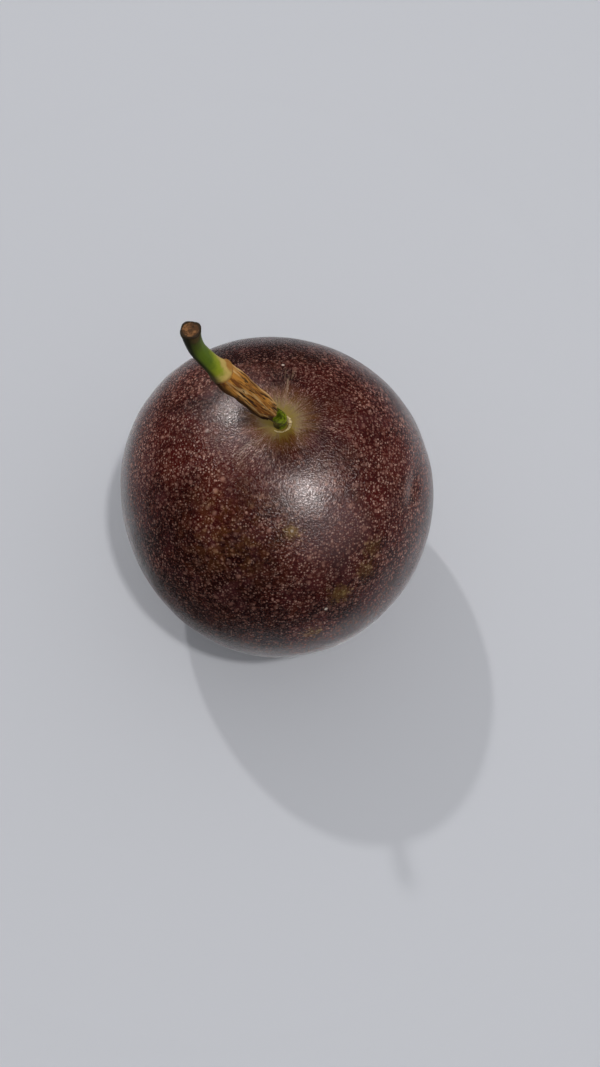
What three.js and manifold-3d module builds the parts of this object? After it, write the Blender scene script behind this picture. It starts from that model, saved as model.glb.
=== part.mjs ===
// A purple passion fruit, picked with its stalk, at rest on a table.
// Millimetres, +Z up. The origin is on the table, under the middle of the berry.

import * as THREE from 'three';
import { mergeVertices } from 'three/addons/utils/BufferGeometryUtils.js';
import Module from 'manifold-3d';

// Berry: a slightly long ball that leans a little off the vertical.
const EQUATOR_RADIUS = 30;
const POLE_RADIUS = 31.7;
const LEAN_TO_X = 2.27;
const LEAN_TO_Y = 5.64;
const REST_DEPTH = 0.6;
const TWO_LOBES = { count: 2, height: 0.47, toward: -56.8 };
const THREE_LOBES = { count: 3, height: 0.35, toward: 24.6 };
const DIMPLE = { depth: 1.3, reach: 5.2 };
const PLEATS = { count: 16, height: 0.05, reach: 5.5 };
const DENT = { depth: 0.5, longitude: -15.4, latitude: 37, halfWidth: 2.7, halfHeight: 1.7 };
const BERRY_SIDES = 80;
const BERRY_RINGS = 42;
const RING_CROWDING = 1.35;

// Stalk: offsets of its middle line from the point where it leaves the berry.
const STALK_ROUTE = [
  [0.0, 0.1, 1.9],
  [-0.4, 0.0, 3.1],
  [-1.25, 0.0, 4.6],
  [-3.2, 0.15, 8.2],
  [-5.3, 0.25, 12.8],
  [-8.1, 0.2, 19.1],
  [-10.05, 0.3, 23.6],
  [-11.0, 0.35, 26.3],
  [-11.4, 0.55, 28.6],
  [-11.5, 0.9, 31.1],
];
const STALK_SUNK = 0.4;
const KNOB_RADIUS = 1.2;
const CORE_RADIUS = 0.75;
const JOINT_RADIUS = 1.85;
const GREEN_RADIUS = 1.24;
const CUT_END_RADIUS = 1.31;
const STALK_SIDES = 20;

// Withered flower tube that still sheathes the stalk, from near the knob to the joint.
// Its outline is [distance along the stalk, radius], fullest below the joint.
const SLEEVE_OUTLINE = [
  [6.2, 1.48],
  [9.3, 1.84],
  [12.0, 1.76],
  [14.6, 1.8],
  [17.4, 2.0],
  [19.6, 1.94],
  [21.1, 1.88],
];
const SLEEVE_START = SLEEVE_OUTLINE[0][0];
const SLEEVE_END = SLEEVE_OUTLINE[SLEEVE_OUTLINE.length - 1][0];
const SLEEVE_SIDES = 36;
const SLEEVE_STEPS = 16;
const SLEEVE_RIDGES = { count: 9, height: 0.09 };
const SLEEVE_TATTER = 0.35;

// Dry crescent left by the flower on the berry, part of the way round the stalk's foot.
const SCAR_WIDTH = 0.6;
const SCAR_STANDS_OUT = 0.35;
const SCAR_ARC = { from: -125, to: 65 };

// Room between touching pieces.
const FIT = 0.3;
const PIT_DEPTH = STALK_SUNK + FIT;
const PIT_RADIUS = KNOB_RADIUS + FIT + SCAR_WIDTH + FIT;

const wasm = await Module();
wasm.setup();

const radians = THREE.MathUtils.degToRad;

// The berry's own frame: Z along the stem axis, origin in its middle.
function berryFrame() {
  const stem = new THREE.Vector3(Math.tan(radians(LEAN_TO_X)), Math.tan(radians(LEAN_TO_Y)), 1).normalize();
  const side = new THREE.Vector3(0, 1, 0).cross(stem).normalize();
  const back = stem.clone().cross(side);
  const height = Math.hypot(POLE_RADIUS * stem.z, EQUATOR_RADIUS * Math.hypot(stem.x, stem.y));
  return new THREE.Matrix4().makeBasis(side, back, stem).setPosition(0, 0, height - REST_DEPTH);
}

const frame = berryFrame();

// A point on the stem axis, counted up from the skin at the bottom of the dimple.
function onStemAxis(height) {
  return new THREE.Vector3(0, 0, POLE_RADIUS - DIMPLE.depth + height).applyMatrix4(frame);
}

function lobe({ count, height, toward }, longitude) {
  return height * Math.cos(count * (longitude - radians(toward)));
}

function bell(distance, reach) {
  return Math.exp(-((distance / reach) ** 2));
}

// Distance from the berry's middle to its skin, for an angle from the stem and a longitude.
function skinRadius(polar, longitude) {
  const across = Math.sin(polar);
  const ball = 1 / Math.hypot(across / EQUATOR_RADIUS, Math.cos(polar) / POLE_RADIUS);
  const fromStem = polar * EQUATOR_RADIUS;
  const nearStem = bell(fromStem, DIMPLE.reach);
  const fold = Math.cos(PLEATS.count * longitude + 0.9 * Math.sin(3 * longitude));
  const pleat = PLEATS.height * fold * (fromStem / PLEATS.reach) * bell(fromStem, PLEATS.reach);
  const aside = Math.cos(longitude - radians(DENT.longitude));
  const dentAcross = EQUATOR_RADIUS * across * Math.sin(longitude - radians(DENT.longitude));
  const dentUp = EQUATOR_RADIUS * (Math.PI / 2 - polar - radians(DENT.latitude));
  const dent = aside > 0 ? bell(dentAcross, DENT.halfWidth) * bell(dentUp, DENT.halfHeight) : 0;
  const bulge = across ** 2 * (lobe(TWO_LOBES, longitude) + lobe(THREE_LOBES, longitude));
  return ball + bulge - DIMPLE.depth * nearStem + pleat - DENT.depth * dent;
}

// Moves every point of a geometry by a rule that changes a vector in place.
function reshape(geometry, rule) {
  const position = geometry.attributes.position;
  const point = new THREE.Vector3();
  for (let i = 0; i < position.count; i += 1) {
    point.fromBufferAttribute(position, i);
    rule(point);
    position.setXYZ(i, point.x, point.y, point.z);
  }
  return geometry;
}

function weld(geometry) {
  geometry.deleteAttribute('normal');
  geometry.deleteAttribute('uv');
  return mergeVertices(geometry, 1e-4);
}

function toSolid(geometry) {
  const vertProperties = new Float32Array(geometry.attributes.position.array);
  const triVerts = new Uint32Array(geometry.index.array);
  return new wasm.Manifold(new wasm.Mesh({ numProp: 3, vertProperties, triVerts }));
}

function toGeometry(solid) {
  const mesh = solid.getMesh();
  const geometry = new THREE.BufferGeometry();
  geometry.setAttribute('position', new THREE.BufferAttribute(mesh.vertProperties, 3));
  geometry.setIndex(new THREE.BufferAttribute(mesh.triVerts, 1));
  return geometry;
}

// The ball is drawn with its rings crowded toward the stem, where the dimple and pleats are.
function berryBall() {
  const ball = new THREE.SphereGeometry(1, BERRY_SIDES, BERRY_RINGS).rotateX(Math.PI / 2);
  return reshape(weld(ball), (point) => {
    const even = Math.acos(THREE.MathUtils.clamp(point.z, -1, 1));
    const longitude = Math.atan2(point.y, point.x);
    const polar = Math.PI * (even / Math.PI) ** RING_CROWDING;
    point.setFromSphericalCoords(skinRadius(polar, longitude), polar, 0);
    point.set(point.z * Math.cos(longitude), point.z * Math.sin(longitude), point.y);
  });
}

// Everything below the table top, which leaves the small flat the fruit rests on.
function tableSlab() {
  const thickness = 20;
  const width = 4 * EQUATOR_RADIUS;
  return new THREE.BoxGeometry(width, width, thickness).translate(0, 0, -thickness / 2);
}

// The shallow round seat for the stalk's foot and the dry crescent.
function stalkPit() {
  const reachUp = 4;
  const height = PIT_DEPTH + reachUp;
  const pit = new THREE.CylinderGeometry(PIT_RADIUS, PIT_RADIUS, height, STALK_SIDES).rotateX(Math.PI / 2);
  pit.translate(0, 0, POLE_RADIUS - DIMPLE.depth - PIT_DEPTH + height / 2);
  return pit.applyMatrix4(frame);
}

function berryGeometry() {
  const ball = toSolid(berryBall().applyMatrix4(frame));
  const rested = ball.subtract(toSolid(weld(tableSlab())));
  return toGeometry(rested.subtract(toSolid(weld(stalkPit()))));
}

// The middle line of the stalk, from its sunk foot to the cut end.
function stalkLine() {
  const leaves = onStemAxis(0);
  const rise = STALK_ROUTE.map((offset) => new THREE.Vector3(...offset).add(leaves));
  return new THREE.CatmullRomCurve3([onStemAxis(-STALK_SUNK), ...rise], false, 'centripetal');
}

const line = stalkLine();
const stalkLength = line.getLength();

// Bends a shape that stands on the Z axis so that Z follows the stalk's middle line.
function bendAlongStalk(geometry) {
  const steps = 120;
  const { normals, binormals } = line.computeFrenetFrames(steps, false);
  return reshape(geometry, (point) => {
    const along = THREE.MathUtils.clamp(point.z / stalkLength, 0, 1);
    const lower = Math.min(Math.floor(along * steps), steps - 1);
    const share = along * steps - lower;
    const normal = normals[lower].clone().lerp(normals[lower + 1], share).normalize();
    const binormal = binormals[lower].clone().lerp(binormals[lower + 1], share).normalize();
    const middle = line.getPointAt(along);
    point.copy(middle.addScaledVector(normal, point.x).addScaledVector(binormal, point.y));
  });
}

// Turns a list of [distance along the stalk, radius] into a solid of revolution on the Z axis.
function turned(profile, sides) {
  const outline = profile.map(([distance, radius]) => new THREE.Vector2(radius, distance));
  return weld(new THREE.LatheGeometry(outline, sides).rotateX(Math.PI / 2));
}

// Knob at the foot, thin core through the flower tube, swollen joint, green bend, flared cut end.
function stalkGeometry() {
  const shoulder = SLEEVE_START - FIT;
  const joint = SLEEVE_END + FIT;
  const end = stalkLength;
  const middle = (shoulder + joint) / 2;
  const profile = [
    [0, 0],
    [0, KNOB_RADIUS * 0.96],
    [STALK_SUNK + 0.8, KNOB_RADIUS * 0.97],
    [STALK_SUNK + 2.2, KNOB_RADIUS],
    [shoulder - 2.0, KNOB_RADIUS],
    [shoulder - 0.9, KNOB_RADIUS * 0.97],
    [shoulder - 0.4, KNOB_RADIUS * 0.85],
    [shoulder, CORE_RADIUS],
    [middle - 3.5, CORE_RADIUS],
    [middle, CORE_RADIUS],
    [middle + 3.5, CORE_RADIUS],
    [joint, CORE_RADIUS],
    [joint, JOINT_RADIUS * 0.97],
    [joint + 0.3, JOINT_RADIUS],
    [joint + 0.9, JOINT_RADIUS * 0.93],
    [joint + 1.8, JOINT_RADIUS * 0.82],
    [joint + 3.2, GREEN_RADIUS * 1.1],
    [joint + 5.0, GREEN_RADIUS * 1.04],
    [joint + 7.5, GREEN_RADIUS],
    [end - 2.6, GREEN_RADIUS],
    [end - 1.4, CUT_END_RADIUS * 0.97],
    [end - 0.5, CUT_END_RADIUS],
    [end, CUT_END_RADIUS * 0.95],
    [end, 0],
  ];
  return bendAlongStalk(turned(profile, STALK_SIDES));
}

// A thin wall that closes on itself, with lengthwise ridges and torn ends.
function sleeveGeometry() {
  const length = SLEEVE_END - SLEEVE_START;
  const bore = CORE_RADIUS + FIT;
  const marks = SLEEVE_OUTLINE.map(([distance, radius]) => new THREE.Vector2(distance, radius));
  const outside = new THREE.SplineCurve(marks).getPoints(SLEEVE_STEPS).map(({ x, y }) => [x, y]);
  const inside = outside.map(([distance]) => [distance, bore]).reverse();
  const wall = turned([...outside, ...inside, outside[0]], SLEEVE_SIDES);
  const ridged = reshape(wall, (point) => {
    const radius = Math.hypot(point.x, point.y);
    const around = Math.atan2(point.y, point.x);
    const share = (point.z - SLEEVE_START) / length;
    const crease = Math.cos(SLEEVE_RIDGES.count * around + 1.2 * share + 0.7 * Math.sin(2 * around));
    const raised = radius > bore + FIT / 2 ? SLEEVE_RIDGES.height * crease : 0;
    const tatter = SLEEVE_TATTER * (0.6 * Math.sin(2 * around + 1) + 0.4 * Math.sin(5 * around));
    const nearStart = Math.max(0, 1 - 4 * share);
    point.x *= 1 + raised / radius;
    point.y *= 1 + raised / radius;
    point.z += nearStart * (tatter + SLEEVE_TATTER);
  });
  return bendAlongStalk(ridged);
}

// A flat crescent, seated in the pit round the stalk's foot.
function scarGeometry() {
  const inner = KNOB_RADIUS + FIT;
  const outer = inner + SCAR_WIDTH;
  const shape = new THREE.Shape();
  shape.absarc(0, 0, outer, radians(SCAR_ARC.from), radians(SCAR_ARC.to), false);
  shape.absarc(0, 0, inner, radians(SCAR_ARC.to), radians(SCAR_ARC.from), true);
  const depth = STALK_SUNK + SCAR_STANDS_OUT;
  const crescent = new THREE.ExtrudeGeometry(shape, { depth, bevelEnabled: false, curveSegments: 18 });
  crescent.translate(0, 0, POLE_RADIUS - DIMPLE.depth - STALK_SUNK);
  return weld(crescent).applyMatrix4(frame);
}

function piece(name, geometry, color, roughness) {
  const material = new THREE.MeshStandardMaterial({ color, roughness, metalness: 0 });
  const mesh = new THREE.Mesh(geometry, material);
  mesh.name = name;
  return mesh;
}

const passionFruit = new THREE.Group();
passionFruit.name = 'passion_fruit';
passionFruit.add(
  piece('fruit', berryGeometry(), 0x45221e, 0.42),
  piece('stalk', stalkGeometry(), 0x5a6a14, 0.5),
  piece('dry_sleeve', sleeveGeometry(), 0x8a5e33, 0.85),
  piece('flower_scar', scarGeometry(), 0xa08c5c, 0.85),
);

export default passionFruit;
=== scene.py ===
import bisect
import math

import bmesh
import bpy
from mathutils import Matrix, Vector, geometry, noise


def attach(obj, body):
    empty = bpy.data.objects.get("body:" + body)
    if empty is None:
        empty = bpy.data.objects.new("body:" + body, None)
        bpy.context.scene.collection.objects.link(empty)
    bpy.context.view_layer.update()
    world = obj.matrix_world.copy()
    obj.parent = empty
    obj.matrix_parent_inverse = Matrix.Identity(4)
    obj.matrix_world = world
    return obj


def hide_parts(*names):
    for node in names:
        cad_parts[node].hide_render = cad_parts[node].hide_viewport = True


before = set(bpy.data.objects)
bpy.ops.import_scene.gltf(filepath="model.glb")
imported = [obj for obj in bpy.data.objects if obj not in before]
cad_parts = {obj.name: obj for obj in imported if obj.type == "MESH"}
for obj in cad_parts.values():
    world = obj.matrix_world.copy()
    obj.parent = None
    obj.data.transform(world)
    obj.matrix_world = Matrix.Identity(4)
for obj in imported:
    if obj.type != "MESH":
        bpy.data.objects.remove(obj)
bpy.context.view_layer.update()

scene = bpy.context.scene
scene.view_settings.view_transform = "Standard"

# The view: a phone held a hand's length above the fruit and looking down on it steeply, so the stalk is
# seen nearly end on and the fruit's near side is much larger than its resting end.
MM = 0.001
VIEW_FROM = Vector((4.49, -59.8, 214.56)) * MM
VIEW_ELEVATION = math.radians(74)
FRAME_LONG_SIDE = 36.0
FOCAL_SHARE = 1000 / 1067
NEAREST_SEEN = 0.01

viewpoint = bpy.data.cameras.new("viewpoint")
viewpoint.sensor_fit = "AUTO"
viewpoint.sensor_width = FRAME_LONG_SIDE
viewpoint.lens = FRAME_LONG_SIDE * FOCAL_SHARE
viewpoint.clip_start = NEAREST_SEEN
viewpoint_holder = bpy.data.objects.new("viewpoint", viewpoint)
viewpoint_holder.location = VIEW_FROM
viewpoint_holder.rotation_euler = (math.pi / 2 - VIEW_ELEVATION, 0, 0)
scene.collection.objects.link(viewpoint_holder)
scene.camera = viewpoint_holder

# The studio: a pale plain floor under two soft lamps, one high behind the fruit's left shoulder and one
# nearly overhead, in a pale room. Beside each lamp a warm catch light shows only as gloss. In that gloss the
# room, the far floor and a round patch of floor at the lower left are kept dim, so they don't grey the rind.
FLOOR_HALF_WIDTH = 1.5
FLOOR_ROUGHNESS = 0.9
FLOOR_COLOUR = (0.628, 0.634, 0.666, 1)
FLOOR_IN_GLOSS = (0.02, 0.02, 0.022, 1)
GLOSS_MIDDLE = (0.026, 0.005, 0)
GLOSS_HALF_SIZE = (0.098, 0.064, 1)
GLOSS_GONE = 1.45
SHADE_MIDDLE = (-0.062, -0.055, 0)
SHADE_NEAR, SHADE_FAR = 0.036, 0.056
ROOM_COLOUR = (0.95, 0.97, 1.0, 1)
ROOM_STRENGTH, ROOM_GLOSS_STRENGTH = 0.45, 0.04
ROOM_BRIGHTER_TOWARD = (0.35, 0.28, 0)
LAMP_WIDTH, LAMP_COLOUR = 0.045, (1, 1, 1)
CATCH_LIGHT_WIDTH, CATCH_LIGHT_COLOUR = 0.06, (1.0, 0.90, 0.88)
# Each lamp's place in metres, and its power in watts.
LAMPS = {"lamp_behind": ((-0.384, 0.770, 1.031), 3.6), "lamp_above": ((0.195, -0.128, 0.888), 2.3)}
CATCH_LIGHTS = {
    "catch_light_behind": ((-0.500, 0.760, 0.880), 15.0),
    "catch_light_above": ((0.400, -0.255, 0.960), 15.4),
}


def add_node(tree, kind, inputs=None, **settings):
    """Adds a shader node; an input is either a value or the output socket that feeds it."""
    node = tree.nodes.new(kind)
    for key, value in settings.items():
        setattr(node, key, value)
    for key, value in (inputs or {}).items():
        if isinstance(value, bpy.types.NodeSocket):
            tree.links.new(value, node.inputs[key])
        else:
            node.inputs[key].default_value = value
    return node


def arithmetic(tree, operation, first, second=0.0):
    """One step between two numbers, either of which may be an output socket."""
    return add_node(tree, "ShaderNodeMath", {0: first, 1: second}, operation=operation).outputs[0]


def plus(tree, first, second):
    return arithmetic(tree, "ADD", first, second)


def minus(tree, first, second):
    return arithmetic(tree, "SUBTRACT", first, second)


def times(tree, first, *others):
    for other in others:
        first = arithmetic(tree, "MULTIPLY", first, other)
    return first


def between_vectors(tree, operation, first, second=(0, 0, 0)):
    """One step between two vectors, which gives a number or a vector as the operation does."""
    step = add_node(tree, "ShaderNodeVectorMath", {0: first, 1: second}, operation=operation)
    return step.outputs["Value" if operation in ("DOT_PRODUCT", "DISTANCE", "LENGTH") else "Vector"]


def ramp(tree, value, starts, ends, first=0.0, last=1.0):
    """Goes evenly from first to last while value goes from starts to ends, and stays level beyond."""
    step = add_node(tree, "ShaderNodeMapRange", {
        "Value": value, "From Min": starts, "From Max": ends, "To Min": first, "To Max": last})
    return step.outputs["Result"]


def tint(tree, share, under, over, mode="MIX"):
    """Lays one colour over another by a share from 0 to 1."""
    step = add_node(tree, "ShaderNodeMix", {0: share, 6: under, 7: over},
                    data_type="RGBA", blend_type=mode, clamp_factor=True)
    return step.outputs[2]


def new_finish(name, roughness):
    """Starts a material: returns it, its tree and its shader node."""
    finish = bpy.data.materials.new(name)
    finish.use_nodes = True
    shader = finish.node_tree.nodes["Principled BSDF"]
    shader.inputs["Roughness"].default_value = roughness
    return finish, finish.node_tree, shader


def link_piece(name, shape, finish):
    """Makes a mesh object of a finished bmesh, smooth shaded, at the origin."""
    mesh = bpy.data.meshes.new(name)
    shape.to_mesh(mesh)
    shape.free()
    mesh.materials.append(finish)
    for face in mesh.polygons:
        face.use_smooth = True
    piece = bpy.data.objects.new(name, mesh)
    scene.collection.objects.link(piece)
    return piece


def hang_lamp(name, place, power, width, colour, only_as_gloss):
    """Hangs a round lamp that faces the fruit, and shows either only as gloss or in everything but gloss."""
    lamp = bpy.data.lights.new(name, "AREA")
    lamp.shape = "DISK"
    lamp.size = width
    lamp.energy = power
    lamp.color = colour
    holder = bpy.data.objects.new(name, lamp)
    holder.location = place
    holder.rotation_euler = (-Vector(place)).to_track_quat("-Z", "Y").to_euler()
    holder.visible_glossy = only_as_gloss
    holder.visible_diffuse = not only_as_gloss
    scene.collection.objects.link(holder)


floor_shape = bmesh.new()
bmesh.ops.create_grid(floor_shape, x_segments=1, y_segments=1, size=FLOOR_HALF_WIDTH)
floor_finish, floor_tree, floor_shader = new_finish("pale_floor", FLOOR_ROUGHNESS)
floor_shader.inputs["Specular IOR Level"].default_value = 0.0
floor_place = add_node(floor_tree, "ShaderNodeTexCoord").outputs["Object"]
gloss_place = add_node(floor_tree, "ShaderNodeMapping", {
    "Vector": floor_place, "Location": GLOSS_MIDDLE, "Scale": GLOSS_HALF_SIZE}, vector_type="TEXTURE")
from_gloss = between_vectors(floor_tree, "LENGTH", gloss_place.outputs["Vector"])
far_off = ramp(floor_tree, from_gloss, 1.0, GLOSS_GONE)
from_shade = between_vectors(floor_tree, "DISTANCE", floor_place, SHADE_MIDDLE)
in_shade = ramp(floor_tree, from_shade, SHADE_FAR, SHADE_NEAR)
seen_in_gloss = add_node(floor_tree, "ShaderNodeLightPath").outputs["Is Glossy Ray"]
dimmed = times(floor_tree, arithmetic(floor_tree, "MAXIMUM", far_off, in_shade), seen_in_gloss)
floor_colour = tint(floor_tree, dimmed, FLOOR_COLOUR, FLOOR_IN_GLOSS)
floor_tree.links.new(floor_colour, floor_shader.inputs["Base Color"])
link_piece("floor", floor_shape, floor_finish)

for lamp_name, (place, power) in LAMPS.items():
    hang_lamp(lamp_name, place, power, LAMP_WIDTH, LAMP_COLOUR, only_as_gloss=False)
for lamp_name, (place, power) in CATCH_LIGHTS.items():
    hang_lamp(lamp_name, place, power, CATCH_LIGHT_WIDTH, CATCH_LIGHT_COLOUR, only_as_gloss=True)

room = bpy.data.worlds.new("room")
room.use_nodes = True
room_tree = room.node_tree
walls = room_tree.nodes["Background"]
walls.inputs["Color"].default_value = ROOM_COLOUR
seen_in_gloss = add_node(room_tree, "ShaderNodeLightPath").outputs["Is Glossy Ray"]
strength = ramp(room_tree, seen_in_gloss, 0.0, 1.0, ROOM_STRENGTH, ROOM_GLOSS_STRENGTH)
heading = add_node(room_tree, "ShaderNodeTexCoord").outputs["Generated"]
brighter = between_vectors(room_tree, "DOT_PRODUCT", heading, ROOM_BRIGHTER_TOWARD)
room_tree.links.new(times(room_tree, strength, plus(room_tree, brighter, 1.0)), walls.inputs["Strength"])
scene.world = room

# The fruit: one whole berry with a thin leathery rind. It is a slightly long ball with low lobes, drawn in
# round the stalk, and it rests on a small flat at its blossom end.
EQUATOR_RADIUS = 30.0
POLE_RADIUS = 31.7
LEAN_TO_X = math.radians(2.27)
LEAN_TO_Y = math.radians(5.64)
REST_DEPTH = 0.6
REST_SOFTNESS = 0.15
# Low lobes: how many go round the fruit, their height, and the longitude of one of them.
LOBES = [(2, 0.47, math.radians(-56.8)), (3, 0.35, math.radians(24.6))]
DIMPLE_DEPTH, DIMPLE_REACH = 1.3, 5.2
PLEAT_COUNT, PLEAT_HEIGHT, PLEAT_REACH = 16, 0.05, 5.5
PLEAT_SWAYS, PLEAT_SWAY = 3, 0.9
DENT_DEPTH, DENT_LONGITUDE, DENT_LATITUDE = 0.5, math.radians(-15.4), math.radians(37)
DENT_HALF_WIDTH, DENT_HALF_HEIGHT = 2.7, 1.7
RIPPLE_HEIGHT, RIPPLE_WIDTH = 0.09, 5.0
SKIN_CUTS = 119

stem_axis = Vector((math.tan(LEAN_TO_X), math.tan(LEAN_TO_Y), 1)).normalized()
stem_side = Vector((0, 1, 0)).cross(stem_axis).normalized()
stem_back = stem_axis.cross(stem_side)
middle_height = math.hypot(POLE_RADIUS * stem_axis.z, EQUATOR_RADIUS * stem_axis.xy.length) - REST_DEPTH
fruit_turn = Matrix((stem_side, stem_back, stem_axis)).transposed()
fruit_middle = Vector((0, 0, middle_height))


def bell(distance, reach):
    """A smooth hump of height 1 that dies away over a reach."""
    return math.exp(-((distance / reach) ** 2))


def skin_radius(polar, longitude):
    """Distance from the fruit's middle to its skin, for an angle from the stem and a longitude."""
    across = math.sin(polar)
    ball = 1 / math.hypot(across / EQUATOR_RADIUS, math.cos(polar) / POLE_RADIUS)
    lobes = sum(height * math.cos(count * (longitude - toward)) for count, height, toward in LOBES)
    from_stem = polar * EQUATOR_RADIUS
    fold = math.cos(PLEAT_COUNT * longitude + PLEAT_SWAY * math.sin(PLEAT_SWAYS * longitude))
    pleat = PLEAT_HEIGHT * fold * (from_stem / PLEAT_REACH) * bell(from_stem, PLEAT_REACH)
    dent_across = EQUATOR_RADIUS * across * math.sin(longitude - DENT_LONGITUDE)
    dent_up = EQUATOR_RADIUS * (math.pi / 2 - polar - DENT_LATITUDE)
    on_dent_side = math.cos(longitude - DENT_LONGITUDE) > 0
    dent = bell(dent_across, DENT_HALF_WIDTH) * bell(dent_up, DENT_HALF_HEIGHT) if on_dent_side else 0
    return ball + across**2 * lobes - DIMPLE_DEPTH * bell(from_stem, DIMPLE_REACH) + pleat - DENT_DEPTH * dent


def skin_point(direction):
    """A point of the skin, in millimetres, for a direction in the fruit's own frame."""
    polar = math.acos(max(-1.0, min(1.0, direction.z)))
    longitude = math.atan2(direction.y, direction.x)
    ripple = RIPPLE_HEIGHT * noise.noise(direction * EQUATOR_RADIUS / RIPPLE_WIDTH)
    point = fruit_turn @ (direction * (skin_radius(polar, longitude) + ripple)) + fruit_middle
    point.z = (point.z + math.hypot(point.z, REST_SOFTNESS)) / 2
    return point


skin_shape = bmesh.new()
bmesh.ops.create_cube(skin_shape, size=2)
bmesh.ops.subdivide_edges(skin_shape, edges=skin_shape.edges[:], cuts=SKIN_CUTS, use_grid_fill=True)
for vertex in skin_shape.verts:
    even = Vector([math.tan(coordinate * math.pi / 4) for coordinate in vertex.co])
    vertex.co = skin_point(even.normalized()) * MM


def fade(tree, value, full, none, most=1.0):
    """Goes smoothly from most to 0 while value goes from full to none."""
    step = add_node(tree, "ShaderNodeMapRange", {
        "Value": value, "From Min": full, "From Max": none, "To Min": most, "To Max": 0.0},
        interpolation_type="SMOOTHSTEP")
    return step.outputs["Result"]


def clouds(tree, place, width, detail, roughness):
    """Soft noise from 0 to 1 whose lumps are about width across."""
    step = add_node(tree, "ShaderNodeTexNoise", {
        "Vector": place, "Scale": 1 / width, "Detail": detail, "Roughness": roughness})
    return step.outputs["Fac"]


def blotches(tree, place, width, detail, roughness, full, none, most=1.0):
    """Soft blotches: they stand where the noise is above full, and are gone where it is below none."""
    return fade(tree, clouds(tree, place, width, detail, roughness), full, none, most)


def swayed(tree, value, unrest, amount):
    """Sways a value by noise that goes from 0 to 1, half of the amount either way."""
    return plus(tree, value, times(tree, minus(tree, unrest, 0.5), amount))


SMALLEST_SPECK, FAINTEST_SPECK = 0.45, 0.45


def specks(tree, place, spacing, radius, blur, missing):
    """Scattered round dots: each has its own size and strength, and a share of them is missing."""
    cells = add_node(tree, "ShaderNodeTexVoronoi", {"Vector": place, "Scale": 1 / spacing})
    chance = add_node(tree, "ShaderNodeSeparateColor", {"Color": cells.outputs["Color"]})
    widest = radius / spacing
    size = ramp(tree, chance.outputs["Red"], 0.0, 1.0, SMALLEST_SPECK * widest, widest)
    inside = minus(tree, size, cells.outputs["Distance"])
    there = arithmetic(tree, "GREATER_THAN", chance.outputs["Green"], missing)
    strength = ramp(tree, chance.outputs["Blue"], 0.0, 1.0, FAINTEST_SPECK, 1.0)
    return times(tree, fade(tree, inside, blur / spacing, 0.0), there, strength)


def roughen(tree, shader, height, strength, depth):
    """Feeds a height from 0 to 1 to a shader as fine bump, with a depth in millimetres."""
    bump = add_node(tree, "ShaderNodeBump", {"Height": height, "Strength": strength, "Distance": depth * MM})
    tree.links.new(bump.outputs["Normal"], shader.inputs["Normal"])


RIND_DARK = (0.016, 0.0006, 0.0002, 1)
RIND_RED = (0.062, 0.0030, 0.0014, 1)
RIND_BROWN = (0.078, 0.015, 0.0040, 1)
RIND_MAUVE = (0.100, 0.026, 0.028, 1)
RIND_GOLD = (0.128, 0.045, 0.008, 1)
RIND_HIGHLIGHT_HAZE = (0.160, 0.088, 0.088, 1)
SPECK_PALE = (0.57, 0.345, 0.265, 1)
SPECK_TAN = (0.36, 0.172, 0.128, 1)
SPECK_FAINT = (0.230, 0.082, 0.056, 1)
SPECK_GOLD = (0.36, 0.195, 0.070, 1)
STREAK_PALE = (0.30, 0.200, 0.125, 1)
HALO_OLIVE = (0.212, 0.148, 0.003, 1)
HALO_BROWN = (0.160, 0.064, 0.004, 1)
MARK_OLIVE = (0.135, 0.066, 0.015, 1)
MARK_YELLOW = (0.52, 0.370, 0.120, 1)
MARK_SCAB = (0.190, 0.100, 0.020, 1)
MARK_WHITE = (0.60, 0.50, 0.42, 1)
RIND_ROUGHNESS, CORKY_ROUGHNESS = 0.245, 0.80
RIND_IOR = 1.38
RIND_SHEEN, RIND_SHEEN_ROUGHNESS = 0.5, 0.2

skin_finish, skin, skin_shader = new_finish("purple_rind", RIND_ROUGHNESS)
skin_shader.inputs["IOR"].default_value = RIND_IOR
skin_shader.inputs["Sheen Weight"].default_value = RIND_SHEEN
skin_shader.inputs["Sheen Roughness"].default_value = RIND_SHEEN_ROUGHNESS
skin_place = add_node(skin, "ShaderNodeMapping", {
    "Vector": add_node(skin, "ShaderNodeTexCoord").outputs["Object"],
    "Location": fruit_middle * MM, "Rotation": fruit_turn.to_euler(), "Scale": (MM, MM, MM)},
    vector_type="TEXTURE").outputs["Vector"]
outward = add_node(skin, "ShaderNodeSeparateXYZ", {"Vector": between_vectors(skin, "NORMALIZE", skin_place)})
from_stem = times(skin, arithmetic(skin, "ARCCOSINE", outward.outputs["Z"]), EQUATOR_RADIUS)
round_stem = between_vectors(skin, "NORMALIZE", add_node(skin, "ShaderNodeCombineXYZ", {
    "X": outward.outputs["X"], "Y": outward.outputs["Y"]}).outputs["Vector"])

SPOKE_SPAN = 22.0


def spoke_place(stretch):
    """Pattern coordinates that run along the spokes from the stem, and stretch a pattern along them."""
    across = between_vectors(skin, "MULTIPLY", round_stem, (SPOKE_SPAN, SPOKE_SPAN, 0))
    along = add_node(skin, "ShaderNodeCombineXYZ", {"Z": arithmetic(skin, "DIVIDE", from_stem, stretch)})
    return between_vectors(skin, "ADD", across, along.outputs["Vector"])


def spot_distance(from_stem_degrees, longitude_degrees):
    """Distance in millimetres from a spot on the rind, given by its angle from the stem and longitude."""
    polar, longitude = math.radians(from_stem_degrees), math.radians(longitude_degrees)
    across = math.sin(polar)
    direction = Vector((across * math.cos(longitude), across * math.sin(longitude), math.cos(polar)))
    return between_vectors(skin, "DISTANCE", skin_place, direction * skin_radius(polar, longitude))


def round_spot(from_stem_degrees, longitude_degrees, full, none, most=1.0):
    """A soft spot on the rind, full out to one distance from its middle and gone at another."""
    return fade(skin, spot_distance(from_stem_degrees, longitude_degrees), full, none, most)
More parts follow.
